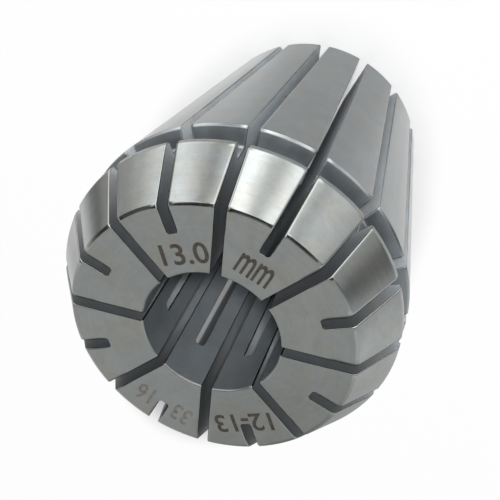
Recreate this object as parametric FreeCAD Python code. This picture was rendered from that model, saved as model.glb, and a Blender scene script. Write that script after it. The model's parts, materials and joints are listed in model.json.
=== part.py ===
import FreeCAD, Part
import math
import os

# A spring collet for a tool chuck: one piece of hardened, ground steel, turned all over,
# bored through and split by saw slots. The slots come in from the front and from the rear
# in turn, so the fingers stay joined by a short web at one end or the other and the whole
# bore closes evenly on the tool.
# Sizes are millimetres and degrees. The axis is Z. The small rear end stands on Z = 0 and
# the front face, where the tool goes in, looks up.

# Outside, from the front face down
collet_length = 40.0
head_diameter = 33.0
nose_half_angle = 30.0
nose_length = 5.25
land_length = 0.9
groove_depth = 1.9
groove_width = 2.95
groove_wall_lean = 16.0
body_diameter = 33.0
taper_half_angle = 8.0

# Bore
bore_diameter = 13.0
front_bore_chamfer = 0.15
rear_bore_chamfer = 0.3

# Edges
front_edge_break = 0.25
land_edge_break = 0.15
groove_corner_radius = 0.35
body_edge_break = 0.2
rear_edge_radius = 0.6

# Slots, sawn with one blade. A slot from one end leaves a web at the bore of the other end,
# and the blade's rim gives the web its curved run-out.
slots_each_way = 8
slot_width = 1.0
saw_diameter = 63.0
saw_corner_bevel = 0.16
saw_reach_radius = 1.8
front_web = 5.3
rear_web = 4.0

# The most of the blade's width that one of its bevelled corners may take
saw_corner_share = 0.45

# How far a cutter stands out of the steel
cutter_margin = 1.5

bore_radius = bore_diameter / 2
head_radius = head_diameter / 2
groove_radius = head_radius - groove_depth
body_radius = body_diameter / 2
saw_radius = saw_diameter / 2

AXIS = FreeCAD.Vector(0, 0, 1)
ORIGIN = FreeCAD.Vector(0, 0, 0)


def tan_deg(angle):
    return math.tan(math.radians(angle))


def section_point(radius, height):
    return FreeCAD.Vector(radius, 0, height)


def corner(radius, height, bevel=0, rounding=0):
    """A corner of the half section, left sharp, bevelled or rounded."""
    return section_point(radius, height), bevel, rounding


def half_section(corners):
    """The closed outline through the corners, with their bevels and roundings."""
    points = [point for point, _, _ in corners]
    starts, middles, ends = [], [], []
    for i, (point, bevel, rounding) in enumerate(corners):
        back = (points[i - 1] - point).normalize()
        ahead = (points[(i + 1) % len(points)] - point).normalize()
        half_angle = back.getAngle(ahead) / 2
        setback = bevel + rounding / math.tan(half_angle)
        inward = (back + ahead).normalize()
        starts.append(point + back * setback)
        middles.append(point + inward * (rounding / math.sin(half_angle) - rounding))
        ends.append(point + ahead * setback)
    edges = []
    for i, (_, bevel, rounding) in enumerate(corners):
        if rounding > 0:
            edges.append(Part.Arc(starts[i], middles[i], ends[i]).toShape())
        elif bevel > 0:
            edges.append(Part.LineSegment(starts[i], ends[i]).toShape())
        edges.append(Part.LineSegment(ends[i], starts[(i + 1) % len(starts)]).toShape())
    return Part.Wire(edges)


def turned_blank():
    """The collet before it is slotted: nose, land, extraction groove, taper and bore."""
    nose_foot = collet_length - nose_length
    face_radius = head_radius - nose_length * tan_deg(nose_half_angle)
    groove_top = nose_foot - land_length
    body_top = groove_top - groove_width
    groove_bottom = body_top + (body_radius - groove_radius) * tan_deg(groove_wall_lean)
    rear_radius = body_radius - body_top * tan_deg(taper_half_angle)
    outline = half_section([
        corner(bore_radius, 0, bevel=rear_bore_chamfer),
        corner(rear_radius, 0, rounding=rear_edge_radius),
        corner(body_radius, body_top, bevel=body_edge_break),
        corner(groove_radius, groove_bottom, rounding=groove_corner_radius),
        corner(groove_radius, groove_top, rounding=groove_corner_radius),
        corner(head_radius, groove_top, bevel=land_edge_break),
        corner(head_radius, nose_foot, bevel=land_edge_break),
        corner(face_radius, collet_length, bevel=front_edge_break),
        corner(bore_radius, collet_length, bevel=front_bore_chamfer),
    ])
    return Part.Face(outline).revolve(ORIGIN, AXIS, 360)


def slot_cutter(web):
    """What the saw sweeps for a slot from the Z = 0 end, stopping at the far end's web."""
    centre_radius = saw_reach_radius + saw_radius
    outer_radius = max(head_radius, body_radius) + cutter_margin
    rise_at_bore = math.sqrt(saw_radius ** 2 - (centre_radius - bore_radius) ** 2)
    centre_height = collet_length - web - rise_at_bore
    last_angle = math.acos((centre_radius - outer_radius) / saw_radius)

    def rim_point(angle):
        return section_point(centre_radius - saw_radius * math.cos(angle),
                             centre_height + saw_radius * math.sin(angle))

    below = section_point(saw_reach_radius, -cutter_margin)
    outside = section_point(outer_radius, -cutter_margin)
    rim = Part.Arc(rim_point(0), rim_point(last_angle / 2), rim_point(last_angle))
    path = Part.Wire([
        Part.LineSegment(below, rim_point(0)).toShape(),
        rim.toShape(),
        Part.LineSegment(rim_point(last_angle), outside).toShape(),
        Part.LineSegment(outside, below).toShape(),
    ])
    path.translate(FreeCAD.Vector(0, -slot_width / 2, 0))
    blade = Part.Face(path).extrude(FreeCAD.Vector(0, slot_width, 0))
    rim_edges = [edge for edge in blade.Edges if isinstance(edge.Curve, Part.Circle)]
    bevel = min(saw_corner_bevel, saw_corner_share * slot_width)
    return blade.makeChamfer(bevel, rim_edges)


def around(cutter, first_angle):
    """Copies of a cutter, evenly spaced about the axis from first_angle."""
    pitch = 360 / slots_each_way
    copies = []
    for k in range(slots_each_way):
        copy = cutter.copy()
        copy.rotate(ORIGIN, AXIS, first_angle + k * pitch)
        copies.append(copy)
    return copies


def slotted(blank):
    """Saw the slots: one set in from the front, the other from the rear, half a pitch on."""
    middle = FreeCAD.Vector(0, 0, collet_length / 2)
    from_front = slot_cutter(rear_web).mirror(middle, AXIS)
    from_rear = slot_cutter(front_web)
    cutters = around(from_front, 0) + around(from_rear, 180 / slots_each_way)
    return blank.cut(cutters).removeSplitter()


os.makedirs("parts", exist_ok=True)
collet = slotted(turned_blank())
collet.exportStep("parts/collet.step")
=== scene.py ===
import json
import math

import bpy
from mathutils import Matrix, Vector


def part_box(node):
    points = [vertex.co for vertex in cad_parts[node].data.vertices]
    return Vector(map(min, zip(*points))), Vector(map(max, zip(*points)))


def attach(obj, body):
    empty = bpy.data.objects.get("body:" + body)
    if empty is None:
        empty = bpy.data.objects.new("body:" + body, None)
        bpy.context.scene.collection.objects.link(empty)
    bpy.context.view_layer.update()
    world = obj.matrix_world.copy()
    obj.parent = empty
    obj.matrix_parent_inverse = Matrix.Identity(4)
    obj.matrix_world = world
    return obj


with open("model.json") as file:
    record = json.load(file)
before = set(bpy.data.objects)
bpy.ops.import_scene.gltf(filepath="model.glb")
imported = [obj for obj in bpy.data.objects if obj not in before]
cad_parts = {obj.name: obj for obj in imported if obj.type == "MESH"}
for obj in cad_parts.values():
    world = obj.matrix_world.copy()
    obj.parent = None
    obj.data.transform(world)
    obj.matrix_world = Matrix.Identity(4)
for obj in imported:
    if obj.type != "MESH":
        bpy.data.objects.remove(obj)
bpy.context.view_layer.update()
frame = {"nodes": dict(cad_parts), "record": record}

bl_info = {
    "name": "Slotted Spring Collet",
    "version": (1, 0, 0),
    "blender": (4, 5, 0),
    "location": "3D View > Sidebar > Collet",
    "description": "Finishes, marks and stages a spring collet of hardened, ground steel",
    "category": "Object",
}

MM = 0.001
STEEL_NODE = "collet"


def mount(name):
    return next(m for m in frame["record"]["mounts"] if m["name"] == name)


def reach(node_name):
    """How far a node's mesh reaches out from the axis."""
    vertices = frame["nodes"][node_name].data.vertices
    return max(math.hypot(v.co.x, v.co.y) for v in vertices)


FACE_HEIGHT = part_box(STEEL_NODE)[1].z
HEAD_RADIUS = reach(STEEL_NODE)
BORE_RADIUS = mount("tool_bore")["dims"]["r_mm"] * MM

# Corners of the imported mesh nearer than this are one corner
JOIN_DISTANCE = 1e-7
# Facets that meet at less than this many degrees are one flat, and past the second they are an
# edge, which is rounded in this many steps
FLAT_ANGLE = 0.6
EDGE_ANGLE = 24
EDGE_STEPS = 2

# How far inside a zone's edge its mask ends
EDGE = 0.02 * MM
# Height of the bore's chamfers over the bore
BORE_LIP = 0.2 * MM
# How far inside the head's radius the groove's finish starts
GROOVE_LIP = 0.16 * MM
# How far under the front face the bore and the slots take their deep colours, which are painted
# light where shade falls deep inside
BORE_PAINTED_LIGHT_FADE = 20 * MM
SLOT_PAINTED_LIGHT_FADE = 9 * MM
# On the face every slot is open outside this radius, and its rims take the rounding over the
# second length
ALL_SLOTS_OPEN = 10.8 * MM
RIM_FADE = 0.6 * MM
# The brushing runs round the axis, so highlights are drawn out across it
QUARTER_TURN = 0.25

# Size and sharpness of the cloudy patches, of the oil stains and of the fine mottling
CLOUD_PATCH = 2.4 * MM
CLOUD_SHARPNESS = 0.22
STAIN_PATCH = 3.2 * MM
STAIN_SHARPNESS = 0.16
MOTTLE_PATCH = 0.45 * MM
MOTTLE_SHARPNESS = 0.26
# What the patches and the lines do to the steel's colour, and the patches to its roughness,
# each from least to most
CLOUD_SHADE = (0.93, 1.05)
CLOUD_ROUGHENING = (0.9, 1.12)
MOTTLE_SHADE = (0.97, 1.03)
LINE_SHADE = (0.97, 1.03)
# The lines' values that take the least and the most of their shade
LINE_VALUES = (0.3, 0.7)
# Where the mottling is under this value it is a dark speck
SPECK_LIMIT = 0.015
SPECK_SHADE = 0.72
# How much of their tint the oil stains give
STAIN_STRENGTH = 0.6

# How the line pattern's run follows the radius beside the height, so that it crosses every cone
LINE_SLANT = 0.8
# How often a line swells and thins on its way round
LINE_BREAKS = 1.6
# How finely the lines and the patches break up, and how far the patches are drawn out of shape
LINE_DETAIL = 3.0
LINE_UNEVENNESS = 0.6
CLOUD_DETAIL = 4.0
CLOUD_UNEVENNESS = 0.55
CLOUD_DISTORTION = 0.6
# The middle of the patches' values, which their sharpness is counted from
CLOUD_MIDDLE = 0.5

# Size and sharpness of the etching's patches, and spacing of its lines
ETCH_PATCH = 0.5 * MM
ETCH_SHARPNESS = 0.2
ETCH_PITCH = 0.12 * MM
# How much the lines and the patches each thin the etching, and how many times lighter it is
# where it is thinnest
ETCH_LINES = 0.4
ETCH_CLOUDS = 0.6
ETCH_FADING = 2.2
# Its roughness where it is full and where it is thinnest, and how bare the steel is in it
ETCH_ROUGHNESS = (0.75, 0.5)
ETCH_METAL = 0.3

# Steps in each curve of the figures
FIGURE_STEPS = 4
# How far the strokes of the figures are spread, as a share of the letter size
STROKE_SPREAD = 0.014
# Where each mark's middle stands on the face, in metres, and its width
SIZE_MARK = (8.0 * MM, 2.9 * MM, 4.5 * MM)
UNIT_MARK = (8.0 * MM, -3.4 * MM, 3.3 * MM)
RANGE_MARK = (-9.62 * MM, -3.93 * MM, 5.8 * MM)
OUTSIDE_MARK = (-10.0 * MM, 4.14 * MM, 5.8 * MM)

# Where the camera stands, in metres, with the way it looks and its upward way
CAMERA_PLACE = (0.05873, -0.01883, 0.10968)
CAMERA_LOOK = (-0.5843, 0.1879, -0.7895)
CAMERA_UP = (0.8077, 0.2287, -0.5434)
# Its lens and sensor in millimetres, how far the lens is shifted, in widths of the picture, and
# how near it sees, in metres
CAMERA_LENS = 74.23
CAMERA_SENSOR = 36.0
CAMERA_SHIFT = (0.0187, 0.0513)
CAMERA_NEAR = 0.005

# The ring of soft panels round the collet: direction in degrees, and level of its light
PANELS = (
    (-180, 0.45), (-165, 0.40), (-152, 0.60), (-138, 0.85), (-116, 1.15), (-98, 0.95),
    (-88, 0.68), (-79, 0.36), (-71, 0.65), (-54, 1.25), (-42, 1.60), (-32, 1.40), (-20, 3.10),
    (-9, 1.65), (3, 3.80), (19, 1.20), (29, 1.80), (39, 2.45), (56, 1.55), (66, 0.95),
    (84, 0.65), (91, 0.42), (102, 1.20), (116, 0.80), (150, 0.85), (180, 0.45),
)
BRIGHTEST = max(level for _, level in PANELS)
TENT_CORNERS = 128
# How far the tent stands over the floor
TENT_CLEARANCE = 0.0005
# The dark top of the tent, which the front edge mirrors: from and to in degrees, the heights in
# metres over which it sets in, and how much of the light it keeps
DARK_TURN = (58, 100)
DARK_RISE = (0.060, 0.068)
DARK_LEVEL = 0.22

# The dark of the room behind the camera, as the steel sees it: from and to in degrees, round and
# up, the softness of its ends in degrees, and how much of the light it keeps
SHADE_TURN = (-72, 82)
SHADE_RISE = (36, 69)
SHADE_SOFT = 7
SHADE_LEVEL = 0.08

WHITE = (1.0, 1.0, 1.0, 1.0)
FLOOR_CORNERS = 96
# The floor's oval behind the collet, where its shadow falls: direction in degrees, middle and
# half sizes in metres, and the shares of its size between which it fades into the white
SHADOW_DIRECTION = 163
SHADOW_MIDDLE = 0.021
SHADOW_OVAL = (0.035, 0.019)
SHADOW_FADE = (0.92, 1.1)
# Painted light: how much plain white glow the floor under the bore gets inside the shadow, so that
# it shows through the bore
UNDER_BORE_GLOW = 0.3
# Inside the first distance the steel sees the floor's own light only, and past the second the
# floor's plain white
NEAR_FLOOR = 0.045
FAR_FLOOR = 1.5 * NEAR_FLOOR
# In front of the collet the steel sees the floor a little duller, as painted shade that only its
# reflections show: from and to in degrees, the softness of its ends in degrees, and its tone
FRONT_TURN = (-51, 27)
FRONT_SOFT = 15
FRONT_SHADE_TONE = 0.78

# The lamp's direction round and up in degrees, its distance from the front face and its size in
# metres
LAMP_DIRECTION = (-17, 48)
LAMP_DISTANCE = 0.3
LAMP_SIZE = 0.05


def length(name, description, default):
    return bpy.props.FloatProperty(name=name, description=description, default=default,
                                   min=0.0, precision=6, unit="LENGTH")


def share(name, description, default):
    return bpy.props.FloatProperty(name=name, description=description, default=default,
                                   min=0.0, max=1.0, subtype="FACTOR")


def amount(name, description, default):
    return bpy.props.FloatProperty(name=name, description=description, default=default, min=0.0)


def colour(name, description, default):
    return bpy.props.FloatVectorProperty(name=name, description=description, default=default,
                                         size=3, min=0.0, max=1.0, subtype="COLOR")


def words(name, description, default):
    return bpy.props.StringProperty(name=name, description=description, default=default)


class SteelSettings(bpy.types.PropertyGroup):
    slot_count: bpy.props.IntProperty(
        name="Slots", description="Saw slots round the collet, from both ends together",
        default=16, min=2)
    slot_width: length("Slot width", "Width of the saw slots", 1.0 * MM)
    groove_top: length("Groove top", "Upper wall of the groove, below the front face", 6.15 * MM)
    groove_foot: length("Groove foot", "Lower wall of the groove, below the front face", 9.1 * MM)
    edge_radius: length("Edge rounding", "Rounding that tumbling leaves on the edges", 0.08 * MM)
    rim_rounding: length("Rim rounding", "How far the deburred slot rims round over", 0.24 * MM)

    nose: colour("Nose", "Colour of the ground nose and the land", (0.272, 0.287, 0.285))
    taper: colour("Taper", "Colour of the ground taper", (0.266, 0.287, 0.294))
    face: colour("Face", "Colour of the satin front face", (0.292, 0.308, 0.303))
    groove: colour("Groove", "Colour of the turned groove", (0.255, 0.280, 0.300))
    # Painted shade and light: the bore's wall is darker by the mouth and lighter far inside,
    # evening out the shade deep in the bore
    bore: colour("Bore", "Colour of the bore's wall by the mouth", (0.168, 0.188, 0.206))
    bore_deep_painted_light: colour("Deep bore", "Colour of the bore's wall far inside", (0.330, 0.370, 0.405))
    # The slot walls by the face are dark partly from their own sawn scale and partly as painted
    # shade; further in they are lighter as painted light where shade falls
    slot: colour("Slot", "Colour of the slot walls by the front face", (0.060, 0.068, 0.073))
    slot_deep_painted_light: colour("Deep slot", "Colour of the slot walls further in", (0.510, 0.545, 0.580))
    warm: colour("Warm stain", "Tint of the oiled patches", (1.0, 0.93, 0.85))
    cool: colour("Cool stain", "Tint of the bare patches", (0.985, 1.0, 1.0))

    ground_roughness: share("Ground roughness", "Roughness of the ground cones", 0.13)
    face_roughness: share("Face roughness", "Roughness of the satin front face", 0.36)
    groove_roughness: share("Groove roughness", "Roughness of the turned groove", 0.38)
    bore_roughness: share("Bore roughness", "Roughness of the bore", 0.42)
    slot_roughness: share("Slot roughness", "Roughness of the sawn slot walls", 0.6)
    bore_metal: share("Bore metal", "How bare the steel is in the bore", 0.45)
    slot_metal: share("Slot metal", "How bare the steel is in the slots", 0.2)
    brushing: share("Brushing", "How far the round grinding draws out a highlight", 0.55)
    line_pitch: length("Line pitch", "Spacing of the grinding lines", 0.16 * MM)
    line_depth: length("Line depth", "Depth of the grinding lines", 0.00025 * MM)


class MarkSettings(bpy.types.PropertyGroup):
    size_text: words("Size", "Number for the bore's size", "13.0")
    unit_text: words("Unit", "Unit of the sizes", "mm")
    range_text: words("Range", "Numbers for the range of shanks", "12-13")
    outside_text: words("Outside", "Numbers for the head's diameter and the slots", "33   16")
    height: length("Height", "Height of the figures", 2.15 * MM)
    relief: length("Relief", "How far the burr of the etching stands on the face", 0.01 * MM)
    ink: colour("Etching", "Colour of the etched figures", (0.034, 0.029, 0.024))
    worn: colour("Worn etching", "Colour of the nearly rubbed out figures", (0.110, 0.103, 0.090))


class StageSettings(bpy.types.PropertyGroup):
    floor_radius: length("Floor radius", "Radius of the round floor", 0.6)
    floor_colour: colour("Floor", "Colour of the floor", (0.95, 0.95, 0.95))
    floor_glow: share("Floor glow", "How much of the floor's white is plain white", 0.95)
    room: amount("Room light", "Level of the soft light from all round", 0.24)
    ceiling: amount("Ceiling", "Level of the ceiling in the steel's reflections", 0.8)
    lamp_power: bpy.props.FloatProperty(
        name="Lamp power", description="Power of the soft lamp by the camera", default=0.9,
        min=0.0, unit="POWER")
    tent_radius: length("Tent radius", "Radius of the ring of soft panels", 0.085)
    tent_height: length("Tent height", "Height of the ring of soft panels", 0.12)


def feed(tree, made, inputs):
    """Link or set the given inputs of a node."""
    for key, value in inputs.items():
        if isinstance(value, bpy.types.NodeSocket):
            tree.links.new(value, made.inputs[key])
        else:
            made.inputs[key].default_value = value


def node(tree, kind, inputs=None, **settings):
    """Add a node, set its properties, and link or set its inputs."""
    made = tree.nodes.new(kind)
    for name, value in settings.items():
        setattr(made, name, value)
    feed(tree, made, inputs or {})
    return made


def maths(tree, operation, first, second=0.0, third=0.0):
    inputs = {0: first, 1: second, 2: third}
    return node(tree, "ShaderNodeMath", inputs, operation=operation).outputs[0]


def vector_maths(tree, operation, first, second=(0.0, 0.0, 0.0)):
    inputs = {0: first, 1: second}
    return node(tree, "ShaderNodeVectorMath", inputs, operation=operation).outputs["Vector"]


def scaled(tree, vector, scale):
    inputs = {"Vector": vector, "Scale": scale}
    return node(tree, "ShaderNodeVectorMath", inputs, operation="SCALE").outputs["Vector"]


def size_of(tree, vector):
    return node(tree, "ShaderNodeVectorMath", {0: vector}, operation="LENGTH").outputs["Value"]


def flattened(tree, place):
    """A place's way from the axis, without its height."""
    return vector_maths(tree, "MULTIPLY", place, (1.0, 1.0, 0.0))


def all_of(tree, *masks):
    """A mask that is 1 where every given mask is 1."""
    result = masks[0]
    for mask in masks[1:]:
        result = maths(tree, "MULTIPLY", result, mask)
    return result


def any_of(tree, *masks):
    """A mask that is as strong as the strongest of the given ones."""
    result = masks[0]
    for mask in masks[1:]:
        result = maths(tree, "MAXIMUM", result, mask)
    return result


def above(tree, value, limit):
    return maths(tree, "GREATER_THAN", value, limit)


def below(tree, value, limit):
    return maths(tree, "LESS_THAN", value, limit)


def between(tree, value, low, high):
    return all_of(tree, above(tree, value, low), below(tree, value, high))


def ramp(tree, value, low, high, start=0.0, end=1.0, smooth=False):
    """A value that goes from start to end while the given one goes from low to high."""
    kind = "SMOOTHSTEP" if smooth else "LINEAR"
    inputs = {"Value": value, "From Min": low, "From Max": high, "To Min": start, "To Max": end}
    return node(tree, "ShaderNodeMapRange", inputs, interpolation_type=kind).outputs[0]


def soft_band(tree, value, limits, softness):
    """1 between two angles in degrees and 0 outside them, with soft ends."""
    low, high = (math.radians(limit) for limit in limits)
    soft = math.radians(softness)
    rising = ramp(tree, value, low - soft, low + soft, smooth=True)
    falling = ramp(tree, value, high - soft, high + soft, 1.0, 0.0, smooth=True)
    return all_of(tree, rising, falling)


# A mixing node has its factor at 0, its numbers at 2 and 3 and its colours at 6 and 7, and gives
# a number at output 0 and a colour at output 2
def mixed_numbers(tree, factor, first, second):
    inputs = {0: factor, 2: first, 3: second}
    return node(tree, "ShaderNodeMix", inputs, data_type="FLOAT").outputs[0]


def mixed_colours(tree, factor, first, second, blend="MIX"):
    inputs = {0: factor, 6: first, 7: second}
    return node(tree, "ShaderNodeMix", inputs, data_type="RGBA", blend_type=blend).outputs[2]


def by_zone(tree, mixing, value, *zones):
    """A value or colour that changes in each zone, given as its mask and what holds there."""
    for mask, there in zones:
        value = mixing(tree, mask, value, there)
    return value


def rgba(rgb):
    return (*rgb, 1.0)


def new_group(name, inputs, output):
    """A node group with the given sockets, and its input and output nodes."""
    group = bpy.data.node_groups.new(name, "ShaderNodeTree")
    for label, kind in inputs:
        group.interface.new_socket(label, in_out="INPUT", socket_type=kind)
    group.interface.new_socket(output, in_out="OUTPUT", socket_type="NodeSocketFloat")
    return group, group.nodes.new("NodeGroupInput"), group.nodes.new("NodeGroupOutput")


def turning_lines():
    """Fine uneven lines round the axis, as grinding and facing leave them, from 0 to 1."""
    name = "turning_lines"
    if name in bpy.data.node_groups:
        return bpy.data.node_groups[name]
    group, given, result = new_group(
        name, [("Place", "NodeSocketVector"), ("Pitch", "NodeSocketFloat")], "Lines")
    place = given.outputs["Place"]
    height = node(group, "ShaderNodeSeparateXYZ", {0: place}).outputs["Z"]
    flat = flattened(group, place)
    run = maths(group, "MULTIPLY_ADD", size_of(group, flat), -LINE_SLANT, height)
    step = maths(group, "DIVIDE", run, given.outputs["Pitch"])
    turn = scaled(group, vector_maths(group, "NORMALIZE", flat), LINE_BREAKS)
    up = node(group, "ShaderNodeCombineXYZ", {"Z": step}).outputs[0]
    noise = node(group, "ShaderNodeTexNoise",
                 {"Vector": vector_maths(group, "ADD", turn, up), "Scale": 1.0,
                  "Detail": LINE_DETAIL, "Roughness": LINE_UNEVENNESS})
    group.links.new(noise.outputs["Fac"], result.inputs["Lines"])
    return group


def cloudiness():
    """Soft uneven patches, from 0 to 1."""
    name = "cloudiness"
    if name in bpy.data.node_groups:
        return bpy.data.node_groups[name]
    group, given, result = new_group(
        name,
        [("Place", "NodeSocketVector"), ("Patch", "NodeSocketFloat"),
         ("Sharpness", "NodeSocketFloat")],
        "Cloud")
    often = maths(group, "DIVIDE", 1.0, given.outputs["Patch"])
    noise = node(group, "ShaderNodeTexNoise",
                 {"Vector": scaled(group, given.outputs["Place"], often), "Scale": 1.0,
                  "Detail": CLOUD_DETAIL, "Roughness": CLOUD_UNEVENNESS,
                  "Distortion": CLOUD_DISTORTION})
    low = maths(group, "SUBTRACT", CLOUD_MIDDLE, given.outputs["Sharpness"])
    high = maths(group, "ADD", CLOUD_MIDDLE, given.outputs["Sharpness"])
    cloud = ramp(group, noise.outputs["Fac"], low, high, smooth=True)
    group.links.new(cloud, result.inputs["Cloud"])
    return group


def effect(tree, group, **inputs):
    """Place a shared effect in a material and give back its output."""
    return node(tree, "ShaderNodeGroup", inputs, node_tree=group).outputs[0]


def new_material(name):
    material = bpy.data.materials.new(name)
    material.use_nodes = True
    tree = material.node_tree
    return material, tree, tree.nodes["Principled BSDF"]


def place_of(tree):
    return node(tree, "ShaderNodeTexCoord").outputs["Object"]


def from_axis(tree, place):
    """Distance from the axis, angle round it and height, of a place in metres."""
    axes = node(tree, "ShaderNodeSeparateXYZ", {0: place})
    radius = size_of(tree, flattened(tree, place))
    turn = maths(tree, "ARCTAN2", axes.outputs["Y"], axes.outputs["X"])
    return radius, turn, axes.outputs["Z"]


def past_slot(tree, radius, turn, settings):
    """Distance from the nearest slot's wall, less than nothing inside the slot."""
    half_pitch = math.pi / settings.slot_count
    off_slot = maths(tree, "SINE", maths(tree, "PINGPONG", turn, half_pitch))
    return maths(tree, "MULTIPLY_ADD", radius, off_slot, -settings.slot_width / 2)


def steel_zones(tree, radius, height, off_wall, settings):
    """Masks of the surfaces that differ in finish."""
    groove_foot = FACE_HEIGHT - settings.groove_foot
    groove_top = FACE_HEIGHT - settings.groove_top
    bore_mouth = all_of(
        tree,
        below(tree, radius, BORE_RADIUS + BORE_LIP),
        above(tree, height, FACE_HEIGHT - BORE_LIP))
    return {
        "taper": below(tree, height, groove_foot),
        "face": any_of(tree, above(tree, height, FACE_HEIGHT - EDGE), bore_mouth),
        "groove": all_of(
            tree,
            between(tree, height, groove_foot, groove_top + EDGE),
            below(tree, radius, HEAD_RADIUS - GROOVE_LIP)),
        "bore": below(tree, radius, BORE_RADIUS + EDGE),
        "slot": all_of(
            tree,
            below(tree, off_wall, EDGE / 2),
            between(tree, height, EDGE, FACE_HEIGHT - EDGE),
            above(tree, radius, BORE_RADIUS + BORE_LIP)),
    }


def steel_colour(tree, place, height, zone, lines, cloud, settings):
    """Each surface's colour, darker near the mouth inside and lighter further in as painted shade
    and light, clouded, mottled and stained.
    """
    stain = effect(tree, cloudiness(), Place=place, Patch=STAIN_PATCH, Sharpness=STAIN_SHARPNESS)
    mottle = effect(tree, cloudiness(),
                    Place=place, Patch=MOTTLE_PATCH, Sharpness=MOTTLE_SHARPNESS)
    # Painted shade near the mouth and painted light further in, for the bore's wall and the slot
    # walls
    bore_painted_light_share = ramp(tree, height, FACE_HEIGHT - BORE_PAINTED_LIGHT_FADE, FACE_HEIGHT, 1.0, 0.0)
    slot_painted_light_share = ramp(tree, height, FACE_HEIGHT - SLOT_PAINTED_LIGHT_FADE, FACE_HEIGHT, 1.0, 0.0)
    bore = mixed_colours(tree, bore_painted_light_share, rgba(settings.bore), rgba(settings.bore_deep_painted_light))
    slot = mixed_colours(tree, slot_painted_light_share, rgba(settings.slot), rgba(settings.slot_deep_painted_light))
    base = by_zone(
        tree, mixed_colours, rgba(settings.nose),
        (zone["taper"], rgba(settings.taper)),
        (zone["groove"], rgba(settings.groove)),
        (zone["face"], rgba(settings.face)),
        (zone["bore"], bore),
        (zone["slot"], slot))
    shade = all_of(
        tree,
        ramp(tree, cloud, 0.0, 1.0, *CLOUD_SHADE),
        ramp(tree, lines, *LINE_VALUES, *LINE_SHADE),
        ramp(tree, mottle, 0.0, 1.0, *MOTTLE_SHADE),
        ramp(tree, mottle, 0.0, SPECK_LIMIT, SPECK_SHADE, 1.0))
    stained = maths(tree, "MULTIPLY", stain, STAIN_STRENGTH)
    tint = mixed_colours(tree, stained, rgba(settings.cool), rgba(settings.warm))
    return scaled(tree, mixed_colours(tree, 1.0, base, tint, blend="MULTIPLY"), shade)


def steel_relief(tree, radius, height, off_wall, lines, settings):
    """Height of the grinding lines, and of the slots' rims where they round over."""
    near = ramp(tree, off_wall, 0.0, settings.rim_rounding, 1.0, 0.0)
    outside = ramp(tree, radius, ALL_SLOTS_OPEN, ALL_SLOTS_OPEN + RIM_FADE)
    between_ends = between(tree, height, EDGE, FACE_HEIGHT - EDGE)
    off_bore = above(tree, radius, BORE_RADIUS + BORE_LIP)
    rims = all_of(tree, mixed_numbers(tree, between_ends, outside, 1.0), off_bore)
    drop = all_of(tree, near, near, rims, -settings.rim_rounding / 2)
    return maths(tree, "MULTIPLY_ADD", lines, settings.line_depth, drop)


def steel_material(settings):
    """Hardened steel: ground cones, a satin face, a plain bore and groove, and dull sawn slots."""
    material, tree, bsdf = new_material("ground_steel")
    place = place_of(tree)
    radius, turn, height = from_axis(tree, place)
    off_wall = past_slot(tree, radius, turn, settings)
    zone = steel_zones(tree, radius, height, off_wall, settings)
    lines = effect(tree, turning_lines(), Place=place, Pitch=settings.line_pitch)
    cloud = effect(tree, cloudiness(), Place=place, Patch=CLOUD_PATCH, Sharpness=CLOUD_SHARPNESS)

    roughness = by_zone(
        tree, mixed_numbers, settings.ground_roughness,
        (zone["groove"], settings.groove_roughness),
        (zone["face"], settings.face_roughness),
        (zone["bore"], settings.bore_roughness),
        (zone["slot"], settings.slot_roughness))
    metal = by_zone(
        tree, mixed_numbers, 1.0,
        (zone["bore"], settings.bore_metal),
        (zone["slot"], settings.slot_metal))
    relief = steel_relief(tree, radius, height, off_wall, lines, settings)
    bump = node(tree, "ShaderNodeBump", {"Height": relief, "Strength": 1.0, "Distance": 1.0})
    around = node(tree, "ShaderNodeTangent", direction_type="RADIAL", axis="Z")
    uneven = ramp(tree, cloud, 0.0, 1.0, *CLOUD_ROUGHENING)
    feed(tree, bsdf, {
        "Base Color": steel_colour(tree, place, height, zone, lines, cloud, settings),
        "Roughness": maths(tree, "MULTIPLY", roughness, uneven),
        "Metallic": metal,
        "Normal": bump.outputs[0],
        "Tangent": around.outputs[0],
        "Anisotropic": settings.brushing,
        "Anisotropic Rotation": QUARTER_TURN,
    })
    return material


class COLLET_OT_finish_steel(bpy.types.Operator):
    """Round the edges of the collet and give it its steel finish"""

    bl_idname = "collet.finish_steel"
    bl_label = "Finish Steel"

    def execute(self, context):
        settings = context.scene.collet_steel
        piece = frame["nodes"][STEEL_NODE]
        for polygon in piece.data.polygons:
            polygon.use_smooth = True
        join = piece.modifiers.new("Join facets", "WELD")
        join.merge_threshold = JOIN_DISTANCE
        flat = piece.modifiers.new("Merge flats", "DECIMATE")
        flat.decimate_type = "DISSOLVE"
        flat.angle_limit = math.radians(FLAT_ANGLE)
        edge = piece.modifiers.new("Round edges", "BEVEL")
        edge.width = settings.edge_radius
        edge.segments = EDGE_STEPS
        edge.limit_method = "ANGLE"
        edge.angle_limit = math.radians(EDGE_ANGLE)
        edge.use_clamp_overlap = False
        even = piece.modifiers.new("Even shading", "WEIGHTED_NORMAL")
        even.keep_sharp = False
        piece.data.materials.clear()
        piece.data.materials.append(steel_material(settings))
        return {"FINISHED"}


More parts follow.
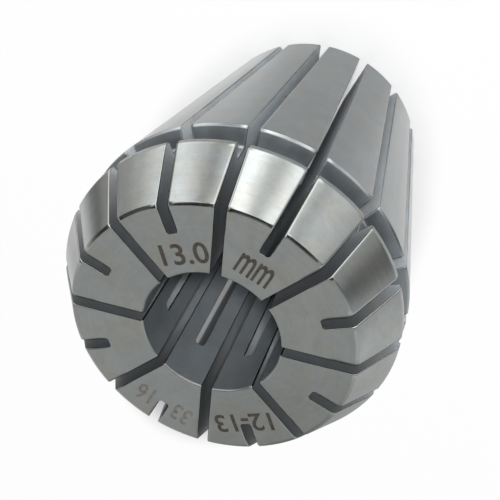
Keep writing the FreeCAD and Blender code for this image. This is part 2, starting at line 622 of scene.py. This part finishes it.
def etched_material(name, ink):
    """Burnt-in laser marking: matt, dark brown, with the steel showing through unevenly."""
    material, tree, bsdf = new_material(name)
    place = place_of(tree)
    cloud = effect(tree, cloudiness(), Place=place, Patch=ETCH_PATCH, Sharpness=ETCH_SHARPNESS)
    lines = effect(tree, turning_lines(), Place=place, Pitch=ETCH_PITCH)
    faded = tuple(min(1.0, ETCH_FADING * c) for c in ink)
    clouded = maths(tree, "MULTIPLY", cloud, ETCH_CLOUDS)
    thin = maths(tree, "MULTIPLY_ADD", lines, ETCH_LINES, clouded)
    feed(tree, bsdf, {
        "Base Color": mixed_colours(tree, thin, rgba(ink), rgba(faded)),
        "Roughness": ramp(tree, thin, 0.0, 1.0, *ETCH_ROUGHNESS),
        "Metallic": ETCH_METAL,
    })
    return material


def figures(name, text, spot, settings, material):
    """Flat figures on the face, with their tops outward."""
    x, y, width = spot
    curve = bpy.data.curves.new(name, "FONT")
    curve.body = text
    curve.resolution_u = FIGURE_STEPS
    curve.extrude = settings.relief
    curve.offset = STROKE_SPREAD
    shaper = bpy.data.objects.new(name + "_outline", curve)
    bpy.context.scene.collection.objects.link(shaper)
    bpy.context.view_layer.update()
    mesh = bpy.data.meshes.new_from_object(shaper)
    bpy.data.objects.remove(shaper)
    mesh.name = name
    xs = [v.co.x for v in mesh.vertices]
    ys = [v.co.y for v in mesh.vertices]
    centre = Vector(((min(xs) + max(xs)) / 2, (min(ys) + max(ys)) / 2, 0))
    wide, high = max(xs) - min(xs), max(ys) - min(ys)
    stretch = Matrix.Diagonal((width / wide, settings.height / high, 1, 1))
    up = Vector((0, 0, 1))
    outward = Vector((x, y, 0)).normalized()
    turn = Matrix((outward.cross(up), outward, up)).transposed().to_4x4()
    seat = Matrix.Translation((x, y, FACE_HEIGHT))
    mesh.transform(seat @ turn @ stretch @ Matrix.Translation(-centre))
    mesh.materials.clear()
    mesh.materials.append(material)
    piece = bpy.data.objects.new(name, mesh)
    bpy.context.scene.collection.objects.link(piece)
    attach(piece, "root")


class COLLET_OT_etch_marks(bpy.types.Operator):
    """Etch the size figures into the front face"""

    bl_idname = "collet.etch_marks"
    bl_label = "Etch Marks"

    def execute(self, context):
        settings = context.scene.collet_marks
        etched = etched_material("etched_mark", settings.ink)
        worn = etched_material("worn_mark", settings.worn)
        figures("size_mark", settings.size_text, SIZE_MARK, settings, etched)
        figures("unit_mark", settings.unit_text, UNIT_MARK, settings, etched)
        figures("range_mark", settings.range_text, RANGE_MARK, settings, etched)
        figures("outside_mark", settings.outside_text, OUTSIDE_MARK, settings, worn)
        return {"FINISHED"}


def direction(azimuth, elevation):
    a, e = math.radians(azimuth), math.radians(elevation)
    return Vector((math.cos(e) * math.cos(a), math.cos(e) * math.sin(a), math.sin(e)))


def ring(radius, height, corners):
    """Points round the axis."""
    turns = [math.tau * k / corners for k in range(corners)]
    return [(radius * math.cos(t), radius * math.sin(t), height) for t in turns]


def stage_piece(context, name, points, faces, material):
    """A piece of the stage, which isn't part of the collet."""
    mesh = bpy.data.meshes.new(name)
    mesh.from_pydata(points, [], faces)
    mesh.materials.append(material)
    piece = bpy.data.objects.new(name, mesh)
    context.scene.collection.objects.link(piece)
    return piece


def floor_material(settings):
    """White for the camera, with the shadow left in its oval behind the collet, painted shade in
    front of it for the steel's reflections, and painted light under the bore.
    """
    material, tree, bsdf = new_material("floor")
    place = place_of(tree)
    radius, turn, _ = from_axis(tree, place)
    along = node(tree, "ShaderNodeVectorRotate",
                 {"Vector": place, "Angle": -math.radians(SHADOW_DIRECTION)},
                 rotation_type="Z_AXIS").outputs[0]
    from_middle = vector_maths(tree, "SUBTRACT", along, (SHADOW_MIDDLE, 0.0, 0.0))
    out = size_of(tree, vector_maths(tree, "DIVIDE", from_middle, (*SHADOW_OVAL, 1.0)))
    open_floor = ramp(tree, out, *SHADOW_FADE, smooth=True)
    far_floor = ramp(tree, radius, NEAR_FLOOR, FAR_FLOOR, smooth=True)
    # Painted light: a little white glow under the bore, inside the shadow, that the camera sees
    # through the bore
    painted_light_under_bore = ramp(tree, radius, BORE_RADIUS, BORE_RADIUS + BORE_LIP, UNDER_BORE_GLOW, 0.0)

    ray = node(tree, "ShaderNodeLightPath").outputs
    # Painted shade: the floor in front of the collet is darker, for the steel's reflections only
    front_shade = all_of(tree, ray["Is Glossy Ray"], soft_band(tree, turn, FRONT_TURN, FRONT_SOFT))
    shaded_floor = tuple(FRONT_SHADE_TONE * c for c in settings.floor_colour)
    feed(tree, bsdf, {
        "Base Color": mixed_colours(tree, front_shade, rgba(settings.floor_colour), rgba(shaded_floor)),
        "Roughness": 1.0,
        "Specular IOR Level": 0.0,
    })
    seen = any_of(
        tree,
        all_of(tree, ray["Is Camera Ray"], any_of(tree, open_floor, painted_light_under_bore)),
        all_of(tree, ray["Is Glossy Ray"], far_floor),
        ray["Is Transmission Ray"])
    glow = all_of(tree, seen, settings.floor_glow)
    white = node(tree, "ShaderNodeEmission")
    both = node(tree, "ShaderNodeMixShader", {0: glow, 1: bsdf.outputs[0], 2: white.outputs[0]})
    feed(tree, tree.nodes["Material Output"], {"Surface": both.outputs[0]})
    return material


def lay_floor(context, settings):
    """A round white floor that keeps the collet's shadow."""
    rim = ring(settings.floor_radius, 0.0, FLOOR_CORNERS)
    stage_piece(context, "floor", rim, [list(range(FLOOR_CORNERS))], floor_material(settings))


def set_world(context, settings):
    """Even white light, a white backdrop, and for the steel a soft ceiling with a dark part."""
    world = bpy.data.worlds.new("studio")
    world.use_nodes = True
    tree = world.node_tree
    way = node(tree, "ShaderNodeTexCoord").outputs["Generated"]
    _, turn, up = from_axis(tree, way)
    rise = maths(tree, "ARCSINE", up)
    dark = all_of(
        tree,
        soft_band(tree, turn, SHADE_TURN, SHADE_SOFT),
        soft_band(tree, rise, SHADE_RISE, SHADE_SOFT))
    clear = ramp(tree, dark, 0.0, 1.0, 1.0, SHADE_LEVEL)
    mirrored = maths(tree, "MULTIPLY", clear, settings.ceiling)
    ray = node(tree, "ShaderNodeLightPath").outputs
    level = mixed_numbers(tree, ray["Is Glossy Ray"], settings.room, mirrored)
    level = mixed_numbers(tree, ray["Is Camera Ray"], level, 1.0)
    feed(tree, tree.nodes["Background"], {"Color": WHITE, "Strength": level})
    context.scene.world = world


def panel_material():
    """The light of the soft panels, stop by stop round the ring, with their dark top."""
    material, tree, bsdf = new_material("soft_panels")
    _, turn, height = from_axis(tree, place_of(tree))
    part = ramp(tree, turn, -math.pi, math.pi)
    levels = node(tree, "ShaderNodeValToRGB", {0: part})
    levels.color_ramp.interpolation = "CARDINAL"
    stops = levels.color_ramp.elements
    # The node comes with two stops
    for _ in PANELS[2:]:
        stops.new(0.5)
    for stop, (azimuth, level) in zip(stops, PANELS):
        stop.position = (azimuth + 180) / 360
        stop.color = rgba([level / BRIGHTEST] * 3)
    dark = all_of(
        tree,
        soft_band(tree, turn, DARK_TURN, SHADE_SOFT),
        ramp(tree, height, *DARK_RISE))
    strength = ramp(tree, dark, 0.0, 1.0, BRIGHTEST, BRIGHTEST * DARK_LEVEL)
    light = node(tree, "ShaderNodeEmission", {"Color": levels.outputs[0], "Strength": strength})
    feed(tree, tree.nodes["Material Output"], {"Surface": light.outputs[0]})
    tree.nodes.remove(bsdf)
    return material


def raise_tent(context, settings):
    """An open bowl of soft panels that only the steel's reflections see."""
    foot, top = TENT_CLEARANCE, TENT_CLEARANCE + settings.tent_height
    rings = ((NEAR_FLOOR, foot), (settings.tent_radius, foot), (settings.tent_radius, top))
    points = [point for radius, height in rings for point in ring(radius, height, TENT_CORNERS)]
    walls = []
    for k in range(len(rings) - 1):
        low, high = k * TENT_CORNERS, (k + 1) * TENT_CORNERS
        for here in range(TENT_CORNERS):
            after = (here + 1) % TENT_CORNERS
            walls.append((low + here, low + after, high + after, high + here))
    tent = stage_piece(context, "tent", points, walls, panel_material())
    tent.visible_camera = False
    tent.visible_diffuse = False
    tent.visible_shadow = False
    tent.visible_transmission = False


def hang_lamp(context, settings):
    """A soft lamp beside the camera, which throws the shadow behind the collet."""
    lamp = bpy.data.lights.new("soft_lamp", "AREA")
    lamp.shape = "DISK"
    lamp.size = LAMP_SIZE
    lamp.energy = settings.lamp_power
    holder = bpy.data.objects.new("soft_lamp", lamp)
    way = direction(*LAMP_DIRECTION)
    place = way * LAMP_DISTANCE + Vector((0, 0, FACE_HEIGHT))
    turn = way.to_track_quat("Z", "Y").to_matrix().to_4x4()
    holder.matrix_world = Matrix.Translation(place) @ turn
    holder.visible_glossy = False
    context.scene.collection.objects.link(holder)


def place_camera(context):
    camera = bpy.data.cameras.new("camera")
    camera.lens = CAMERA_LENS
    camera.sensor_width = CAMERA_SENSOR
    camera.shift_x, camera.shift_y = CAMERA_SHIFT
    camera.clip_start = CAMERA_NEAR
    holder = bpy.data.objects.new("camera", camera)
    back = -Vector(CAMERA_LOOK).normalized()
    side = Vector(CAMERA_UP).cross(back).normalized()
    turn = Matrix((side, back.cross(side), back)).transposed().to_4x4()
    holder.matrix_world = Matrix.Translation(CAMERA_PLACE) @ turn
    context.scene.collection.objects.link(holder)
    context.scene.camera = holder


class COLLET_OT_set_stage(bpy.types.Operator):
    """Lay the floor and set up the light and the camera"""

    bl_idname = "collet.set_stage"
    bl_label = "Set Stage"

    def execute(self, context):
        settings = context.scene.collet_stage
        lay_floor(context, settings)
        set_world(context, settings)
        raise_tent(context, settings)
        hang_lamp(context, settings)
        place_camera(context)
        context.scene.view_settings.view_transform = "Standard"
        return {"FINISHED"}


class COLLET_PT_panel(bpy.types.Panel):
    """Steps that dress the collet, with their sizes and colours"""

    bl_label = "Collet"
    bl_idname = "COLLET_PT_panel"
    bl_space_type = "VIEW_3D"
    bl_region_type = "UI"
    bl_category = "Collet"

    def draw(self, context):
        scene = context.scene
        for step, settings in (
                (COLLET_OT_finish_steel, scene.collet_steel),
                (COLLET_OT_etch_marks, scene.collet_marks),
                (COLLET_OT_set_stage, scene.collet_stage)):
            box = self.layout.box()
            box.operator(step.bl_idname)
            for name in settings.bl_rna.properties.keys():
                if name not in {"rna_type", "name"}:
                    box.prop(settings, name)


GROUPS = {
    "collet_steel": SteelSettings,
    "collet_marks": MarkSettings,
    "collet_stage": StageSettings,
}
CLASSES = (
    *GROUPS.values(),
    COLLET_OT_finish_steel,
    COLLET_OT_etch_marks,
    COLLET_OT_set_stage,
    COLLET_PT_panel,
)


def register():
    for cls in CLASSES:
        bpy.utils.register_class(cls)
    for name, group in GROUPS.items():
        setattr(bpy.types.Scene, name, bpy.props.PointerProperty(type=group))


def unregister():
    for name in GROUPS:
        delattr(bpy.types.Scene, name)
    for cls in reversed(CLASSES):
        bpy.utils.unregister_class(cls)


def main():
    register()
    bpy.ops.collet.finish_steel()
    bpy.ops.collet.etch_marks()
    bpy.ops.collet.set_stage()


if __name__ == "__main__":
    main()
